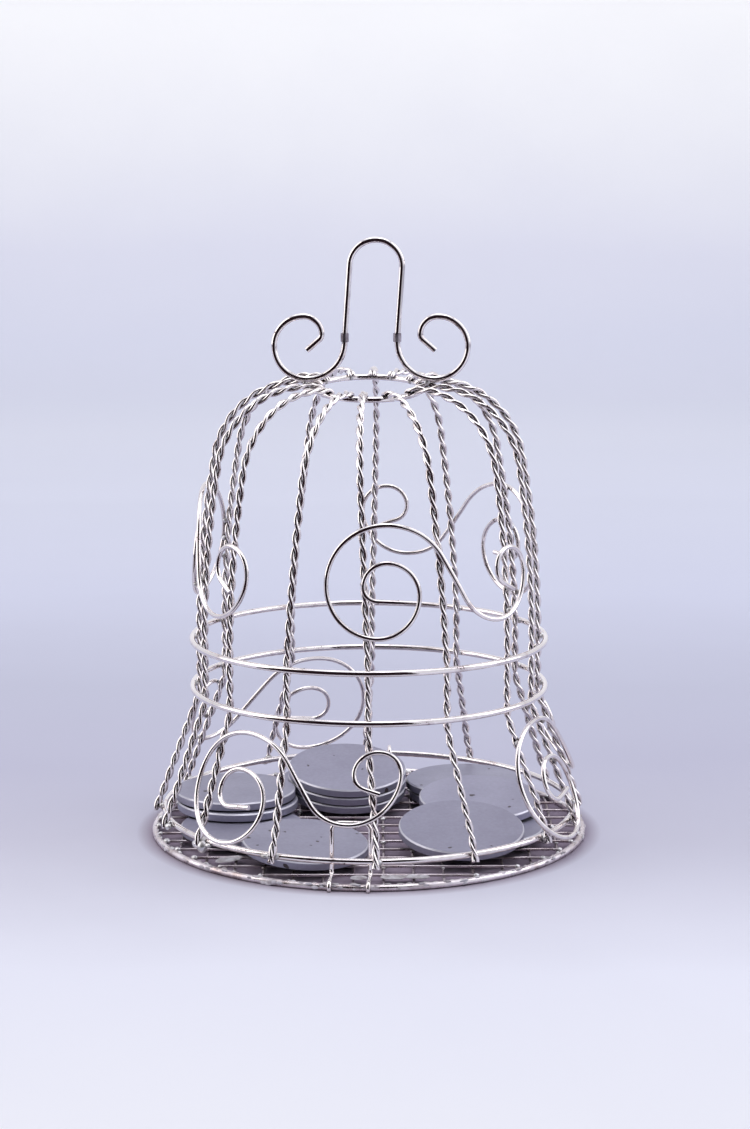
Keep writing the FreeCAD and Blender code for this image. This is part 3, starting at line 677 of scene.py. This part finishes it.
def meltBeads(name, spots, look, body):
    mesh = bpy.data.meshes.new(name)
    mesh.from_pydata([place for place, _, _ in spots], [], [])
    for label, column in (("beadSize", 1), ("beadTurn", 2)):
        values = mesh.attributes.new(label, "FLOAT_VECTOR", "POINT")
        values.data.foreach_set("vector", [number for spot in spots for number in spot[column]])
    piece = show(name, mesh)
    melter = piece.modifiers.new("beads", "NODES")
    melter.node_group = beadTree
    settings = {
        "Roundness": look["roundness"],
        "Spread": look["spread"],
        "Lump size": look["lumpScale"],
        "Lump depth": look["lumpDepth"],
        "Seed": look["seed"],
        "Finish": look["finish"],
    }
    for label, value in settings.items():
        melter[socketId(beadTree, label)] = value
    made = bpy.data.meshes.new_from_object(piece.evaluated_get(bpy.context.evaluated_depsgraph_get()))
    piece.modifiers.clear()
    piece.data = made
    made.name = name
    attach(piece, body)
    print(name, len(spots), "beads,", len(made.polygons), "faces")


# solder on the bell: feet of the ribs, bands, crown and scrolls

bellSolder = {
    "rim_ring": (0.72 * mm, 0.70 * mm, 0.70 * mm),
    "lower_band": (0.62 * mm, 0.62 * mm, 0.50 * mm),
    "upper_band": (0.62 * mm, 0.62 * mm, 0.50 * mm),
    "top_ring": (0.56 * mm, 0.52 * mm, 0.46 * mm),
    "scroll": (0.50 * mm, 0.50 * mm, 0.50 * mm),
    "roundness": 3,
    "spread": 0.22,
    "lumpScale": 1500,
    "lumpDepth": 0.35 * mm,
    "seed": 4,
    "finish": paleSolder,
    "scrollTouch": 0.30 * mm,
    "scrollApart": 3.0 * mm,
    "drips": (  # extra lumps at the untidy feet: rib, step along the rim, out and up from it, size
        ("rib_13", (-0.9, 0.5, -0.7), (1.15, 0.95, 0.85)),
        ("rib_13", (0.4, 0.6, -0.9), (0.90, 0.75, 0.95)),
        ("rib_13", (-1.2, 0.3, 0.5), (0.65, 0.55, 0.55)),
        ("rib_13", (1.6, 0.2, -0.5), (0.95, 0.60, 0.50)),
        ("rib_14", (-1.0, 0.3, 0.1), (0.85, 0.65, 0.60)),
        ("rib_14", (-2.2, 0.2, -0.1), (0.70, 0.45, 0.40)),
        ("rib_12", (0.3, 0.5, -0.5), (0.80, 0.65, 0.60)),
        ("rib_03", (0.2, 0.4, -0.3), (0.95, 0.75, 0.90)),
        ("rib_03", (0.9, 0.3, -0.6), (0.70, 0.55, 0.55)),
        ("rib_06", (-0.6, 0.4, -0.3), (0.85, 0.65, 0.65)),
        ("rib_09", (0.7, 0.4, -0.3), (0.90, 0.70, 0.60)),
    ),
}


def bellSpots(look):
    spots = []
    for ring in ringNames:
        for rib in ribNames:
            place, around = crossings(ring, rib)
            spots.append((place, look[ring], (0, 0, around)))
    for rib, (along, out, up), size in look["drips"]:
        place, around = crossings("rim_ring", rib)
        shift = Euler((0, 0, around)).to_matrix() @ Vector((along, -out, up)) * mm
        spots.append((Vector(place) + shift, [side * mm for side in size], (0, 0, around)))
    for scroll in scrollNames:
        for rib in ribNames:
            for place in touches(scroll, rib, look["scrollTouch"], look["scrollApart"]):
                spots.append((place, look["scroll"], (0, 0, math.atan2(place[0], -place[1]))))
    return spots


meltBeads("bell_solder_beads", bellSpots(bellSolder), bellSolder, "bell")


# the base: lumps at the ends of the mesh wires and the hinge eyes, crumbs of flux along the ring,
# and a film of it across the mesh in front

baseSolder = {
    "end": (0.62 * mm, 0.50 * mm, 0.42 * mm),
    "crossing": (0.52 * mm, 0.46 * mm, 0.34 * mm),
    "crossingShare": 0.28,  # how many of the crossings have one
    "laneGap": 1 * mm,  # two mesh wires lie further apart than this
    "edgeClear": 2 * mm,
    "eye": (0.75 * mm, 0.70 * mm, 0.55 * mm),
    "eyeTouch": 0.35 * mm,
    "eyeApart": 2.5 * mm,
    "roundness": 2,
    "spread": 0.35,
    "lumpScale": 1400,
    "lumpDepth": 0.28 * mm,
    "seed": 11,
    "finish": paleSolder,
}
ringCrust = {
    "crumbs": 170,
    "size": (0.50 * mm, 0.26 * mm, 0.11 * mm),  # along the ring, across it, away from it
    "grow": (0.5, 1.5),
    "frontShare": 0.6,
    "frontSpread": 0.9,  # radians
    "tips": (-20, 150),  # degrees, from the outside over the top
    "roundness": 2,
    "spread": 0.45,
    "lumpScale": 1900,
    "lumpDepth": 0.22 * mm,
    "seed": 23,
    "finish": flux,
}
meshFilm = {
    "films": (  # place on the mesh, half sizes and turn, all in mm and degrees
        ((-1.7, -35.4), (1.5, 1.3), 10),
        ((4.2, -35.0), (2.3, 1.3), 4),
        ((8.0, -34.6), (2.6, 1.2), -8),
        ((-24.6, -24.4), (2.8, 1.5), 38),
        ((20.5, 28.0), (2.4, 1.6), 50),
    ),
    "thick": 0.22 * mm,
    "roundness": 4,
    "spread": 0.0,
    "lumpScale": 900,
    "lumpDepth": 0.55 * mm,
    "seed": 5,
    "finish": flux,
}


def meshLanes(name, across, gap):
    points = corners[name]
    steps = np.sort(points[:, across])
    groups = np.split(steps, np.flatnonzero(np.diff(steps) > gap) + 1)
    return [points[(points[:, across] >= group[0]) & (points[:, across] <= group[-1])] for group in groups]


def baseSpots(look):
    spots = []
    chance = np.random.default_rng(look["seed"])
    middles = []
    for name, across in (("mesh_wires_lengthwise", 0), ("mesh_wires_crosswise", 1)):
        along = 1 - across
        lanes = meshLanes(name, across, look["laneGap"])
        middles.append([lane.mean(0) for lane in lanes])
        for lane in lanes:
            for end in (lane[:, along].min(), lane[:, along].max()):
                place = lane.mean(0)
                place[along] = end
                spots.append((place, look["end"], (0, 0, math.atan2(place[0], -place[1]))))
    reach = np.hypot(*corners["mesh_wires_crosswise"][:, :2].T).max() - look["edgeClear"]
    for first in middles[0]:
        for second in middles[1]:
            place = (first[0], second[1], (first[2] + second[2]) / 2)
            if math.hypot(place[0], place[1]) < reach and chance.random() < look["crossingShare"]:
                spots.append((place, look["crossing"], (0, 0, chance.uniform(0, math.pi))))
    for eye in ("hinge_eye_left", "hinge_eye_right"):
        for place in touches(eye, "base_ring", look["eyeTouch"], look["eyeApart"]):
            spots.append((place, look["eye"], (0, 0, math.atan2(place[0], -place[1]))))
    return spots


def crustSpots(look):
    chance = np.random.default_rng(look["seed"])
    low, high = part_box("base_ring")
    wire = (high.z - low.z) / 2
    radius = (high.x - low.x) / 2 - wire
    spots = []
    for _ in range(look["crumbs"]):
        inFront = chance.random() < look["frontShare"]
        around = chance.normal(0, look["frontSpread"]) if inFront else chance.uniform(-math.pi, math.pi)
        tip = chance.uniform(*np.radians(look["tips"]))
        reach = radius + wire * math.cos(tip)
        place = (reach * math.sin(around), -reach * math.cos(around), low.z + wire + wire * math.sin(tip))
        grow = chance.uniform(*look["grow"])
        spots.append((place, [grow * side for side in look["size"]], (tip - math.pi / 2, 0, around)))
    return spots


def filmSpots(look):
    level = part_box("mesh_wires_crosswise")[1].z - look["thick"]
    spots = []
    for (x, y), (long, wide), turn in look["films"]:
        size = (long * mm, wide * mm, look["thick"])
        spots.append(((x * mm, y * mm, level), size, (0, 0, math.radians(turn))))
    return spots


meltBeads("base_solder_beads", baseSpots(baseSolder), baseSolder, "base")
meltBeads("base_ring_flux_crust", crustSpots(ringCrust), ringCrust, "base")
meltBeads("mesh_flux_film", filmSpots(meshFilm), meshFilm, "base")


# pale sweep of floor and backdrop

sweepLook = {
    "width": 8.0,
    "front": -4.0,
    "bend": 0.75,  # where the floor starts to rise
    "bendRadius": 0.5,
    "bendSteps": 24,
    "height": 1.5,
    "roughness": 0.9,
    "shine": 0.1,
    "waverScale": 9,
    "waver": 0.01,  # how far the lines between tones stray
    "tones": (  # colours from the front of the floor to the back, with painted shade across the band where the object stands and just behind it, and painted light on the far floor
        (-0.15, (0.93, 0.93, 0.985)),
        (-0.08, (0.86, 0.865, 0.96)),
        (-0.01, (0.64, 0.63, 0.74)),
        (0.05, (0.57, 0.565, 0.69)),
        (0.12, (0.59, 0.595, 0.715)),
        (0.235, (0.72, 0.735, 0.87)),
        (0.42, (0.855, 0.87, 0.985)),
        (1.15, (0.94, 0.95, 0.99)),
    ),
    "glows": (  # what the far floor and the backdrop give of their own, as seen
        (-0.15, (0.0, 0.0, 0.0)),
        (0.40, (0.0, 0.0, 0.0)),
        (0.60, (0.08, 0.08, 0.095)),
        (0.88, (0.12, 0.122, 0.178)),
        (0.98, (0.165, 0.16, 0.212)),
        (1.06, (0.27, 0.264, 0.278)),
        (1.15, (0.40, 0.392, 0.37)),
    ),
    "shadeReach": (39.5 * mm, 43 * mm),  # under the base: how far it is full, and where it ends
    "shadeLeaves": (0.50, 0.415, 0.455),
}


def makeRamp(tree, value, stops):
    near, far = stops[0][0], stops[-1][0]
    ramp = tree.nodes.new("ShaderNodeValToRGB")
    tree.links.new(between(tree, value, near, far), ramp.inputs[0])
    ramp.color_ramp.elements[0].color = (*stops[0][1], 1)
    ramp.color_ramp.elements[1].color = (*stops[-1][1], 1)
    for place, colour in stops[1:-1]:
        ramp.color_ramp.elements.new((place - near) / (far - near)).color = (*colour, 1)
    return ramp.outputs["Color"]


def makeSweepFinish(look):
    material, tree, shader, place = startMaterial("pale_sweep")
    axes = splitVector(tree, place)
    waver = noise(tree, place, look["waverScale"])
    back = calc(tree, "ADD", axes["Y"], between(tree, waver, *noiseSpan, -look["waver"], look["waver"]))
    squares = [calc(tree, "POWER", axes[name], 2.0) for name in ("X", "Y")]
    reach = calc(tree, "POWER", calc(tree, "ADD", *squares), 0.5)
    shade = blendColour(tree, between(tree, reach, *look["shadeReach"]), look["shadeLeaves"], (1, 1, 1))
    mix = tree.nodes.new("ShaderNodeMix")
    mix.data_type, mix.blend_type = "RGBA", "MULTIPLY"
    mix.inputs[0].default_value = 1.0
    tree.links.new(makeRamp(tree, back, look["tones"]), mix.inputs[6])
    tree.links.new(shade, mix.inputs[7])
    fill(tree, shader, {
        "Base Color": mix.outputs[2],
        "Roughness": look["roughness"],
        "Specular IOR Level": look["shine"],
        "Emission Color": makeRamp(tree, back, look["glows"]),
        "Emission Strength": seenRays(tree),
    })
    return material


def makeSweep(look):
    bend, radius = look["bend"], look["bendRadius"]
    profile = [(look["front"], 0.0)]
    for angle in np.linspace(0, math.pi / 2, look["bendSteps"] + 1):
        profile.append((bend + radius * math.sin(angle), radius * (1 - math.cos(angle))))
    profile.append((bend + radius, look["height"]))
    half = look["width"] / 2
    points = [(side * half, y, z) for y, z in profile for side in (-1, 1)]
    faces = [(2 * k, 2 * k + 1, 2 * k + 3, 2 * k + 2) for k in range(len(profile) - 1)]
    mesh = bpy.data.meshes.new("sweep")
    mesh.from_pydata(points, [], faces)
    smoothFaces(mesh)
    mesh.materials.append(makeSweepFinish(look))
    show("sweep", mesh)


makeSweep(sweepLook)


# soft studio light: a pale room, a cream softbox on the left, cooler ones on the right and above,
# and a dark hood over the front that shows only in the metal

studioLight = {
    "room": ((0.80, 0.815, 0.90), 0.50, 0.95),  # colour, strength as light, strength as metal shows it
    "softboxes": (
        # name, place, size, watts, colour
        ("left_softbox", (-0.62, -0.05, 0.42), (0.60, 0.80), 2.1, (1.0, 0.965, 0.93)),
        ("right_softbox", (0.60, 0.05, 0.42), (0.42, 0.66), 1.4, (0.95, 0.96, 1.0)),
        ("top_softbox", (0.05, 0.05, 0.85), (0.70, 0.50), 2.3, (0.96, 0.97, 1.0)),
    ),
    "hood": {
        "apron": 66 * mm,  # where it starts on the floor
        "lift": 0.5 * mm,
        "radius": 1.3,
        "sides": (-66, 27),  # degrees from the front, left to right
        "high": 58,  # degrees up from the floor
        "steps": 16,
        "tint": (0.013, 0.007, 0.009),
        "fibreScale": 3,
        "fibreLight": 3,  # how much lighter its fibres are
    },
    "aim": (0.0, 0.0, 50 * mm),
}


def makeLight(light):
    world = bpy.data.worlds.new("pale_room")
    bpy.context.scene.world = world
    world.use_nodes = True
    tree = world.node_tree
    background = next(n for n in tree.nodes if n.type == "BACKGROUND")
    colour, strength, shown = light["room"]
    level = between(tree, seenRays(tree), 0.0, 1.0, strength, shown)
    fill(tree, background, {"Color": (*colour, 1), "Strength": level})
    for name, place, (width, height), watts, tint in light["softboxes"]:
        lamp = bpy.data.lights.new(name, "AREA")
        lamp.shape = "RECTANGLE"
        lamp.size, lamp.size_y = width, height
        lamp.energy = watts
        lamp.color = tint
        softbox = show(name, lamp)
        softbox.location = place
        aim = Vector(light["aim"]) - Vector(place)
        softbox.rotation_euler = aim.to_track_quat("-Z", "Y").to_euler()


def makeHood(hood):
    material, tree, shader, place = startMaterial("dark_hood")
    fibres = noise(tree, place, hood["fibreScale"])
    lighter = tuple(hood["fibreLight"] * part for part in hood["tint"])
    dark = blendColour(tree, fibres, hood["tint"], lighter)
    fill(tree, shader, {"Base Color": dark, "Roughness": 1.0, "Specular IOR Level": 0.0})
    steps, lift, radius = hood["steps"], hood["lift"], hood["radius"]
    profile = [(hood["apron"], lift)]
    for rise in np.radians(np.linspace(0, hood["high"], steps + 1)):
        profile.append((radius * math.cos(rise), lift + radius * math.sin(rise)))
    turns = np.radians(np.linspace(*hood["sides"], steps + 1))
    points = []
    for reach, z in profile:
        points.extend((reach * math.sin(turn), -reach * math.cos(turn), z) for turn in turns)
    row = steps + 1
    starts = [row * j + k for j in range(len(profile) - 1) for k in range(steps)]
    faces = [(k, k + 1, k + row + 1, k + row) for k in starts]
    mesh = bpy.data.meshes.new("hood")
    mesh.from_pydata(points, [], faces)
    mesh.materials.append(material)
    cover = show("hood", mesh)
    cover.visible_camera = False
    cover.visible_diffuse = False
    cover.visible_shadow = False


makeLight(studioLight)
makeHood(studioLight["hood"])
bpy.context.scene.view_settings.view_transform = "Standard"
print("stage and light set")
